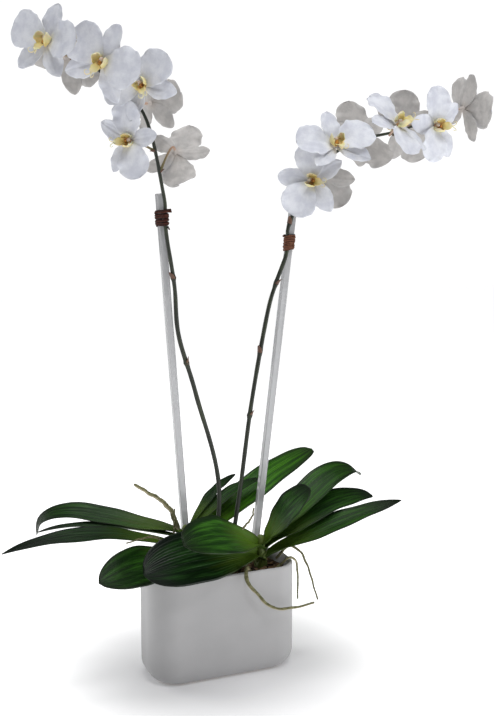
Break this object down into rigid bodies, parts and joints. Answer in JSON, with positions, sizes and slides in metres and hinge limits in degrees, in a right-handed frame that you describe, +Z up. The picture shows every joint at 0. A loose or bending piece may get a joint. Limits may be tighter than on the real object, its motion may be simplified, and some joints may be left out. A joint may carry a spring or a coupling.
{
  "type": "potted orchid",
  "caption": "Moth orchid with two arching white flower spikes tied to clear stakes, strap leaves and aerial roots, in a rounded white ceramic pot.",
  "frame": {"origin": "centre of the pot's flat base, on the surface it stands on", "axes": "+Z up; +X along the pot's long side, towards the flower spike that reaches furthest; -Y out of the pot's front"},
  "size_m": [0.6511, 0.2011, 0.7991],
  "materials": {
    "pot_ceramic": "matte",
    "bark_mix": "matte",
    "acrylic_clear": "gloss",
    "raffia_tie": "matte",
    "stem_green": "satin",
    "petal_white": "satin",
    "lip_yellow": "satin",
    "leaf_green": "satin",
    "crown_green": "satin",
    "root_olive": "matte"
  },
  "bodies": {
    "root": {"crown_left": "crown_green", "crown_right": "crown_green", "flower_left_1": "petal_white", "flower_left_2": "petal_white", "flower_left_3": "petal_white", "flower_left_4": "petal_white", "flower_left_5": "petal_white", "flower_left_6": "petal_white", "flower_left_7": "petal_white", "flower_right_1": "petal_white", "flower_right_2": "petal_white", "flower_right_3": "petal_white", "flower_right_4": "petal_white", "flower_right_5": "petal_white", "flower_right_6": "petal_white", "flower_right_7": "petal_white", "flower_right_8": "petal_white", "leaf_left_arch": "leaf_green", "leaf_left_inner": "leaf_green", "leaf_left_long": "leaf_green", "leaf_left_low": "leaf_green", "leaf_left_narrow": "leaf_green", "leaf_left_rear": "leaf_green", "leaf_left_upright": "leaf_green", "leaf_right_front": "leaf_green", "leaf_right_long": "leaf_green", "leaf_right_near": "leaf_green", "leaf_right_rear": "leaf_green", "leaf_right_side": "leaf_green", "leaf_right_upright": "leaf_green", "lip_left_1": "lip_yellow", "lip_left_2": "lip_yellow", "lip_left_3": "lip_yellow", "lip_left_4": "lip_yellow", "lip_left_5": "lip_yellow", "lip_left_6": "lip_yellow", "lip_left_7": "lip_yellow", "lip_right_1": "lip_yellow", "lip_right_2": "lip_yellow", "lip_right_3": "lip_yellow", "lip_right_4": "lip_yellow", "lip_right_5": "lip_yellow", "lip_right_6": "lip_yellow", "lip_right_7": "lip_yellow", "lip_right_8": "lip_yellow", "pot": "pot_ceramic", "potting_mix": "bark_mix", "root_corner": "root_olive", "root_end": "root_olive", "root_front": "root_olive", "root_high": "root_olive", "root_low": "root_olive", "root_middle": "root_olive", "root_spur": "root_olive", "spike_left": "stem_green", "spike_right": "stem_green", "stake_left": "acrylic_clear", "stake_right": "acrylic_clear", "tie_left": "raffia_tie", "tie_right": "raffia_tie"}
  },
  "joints": []
}
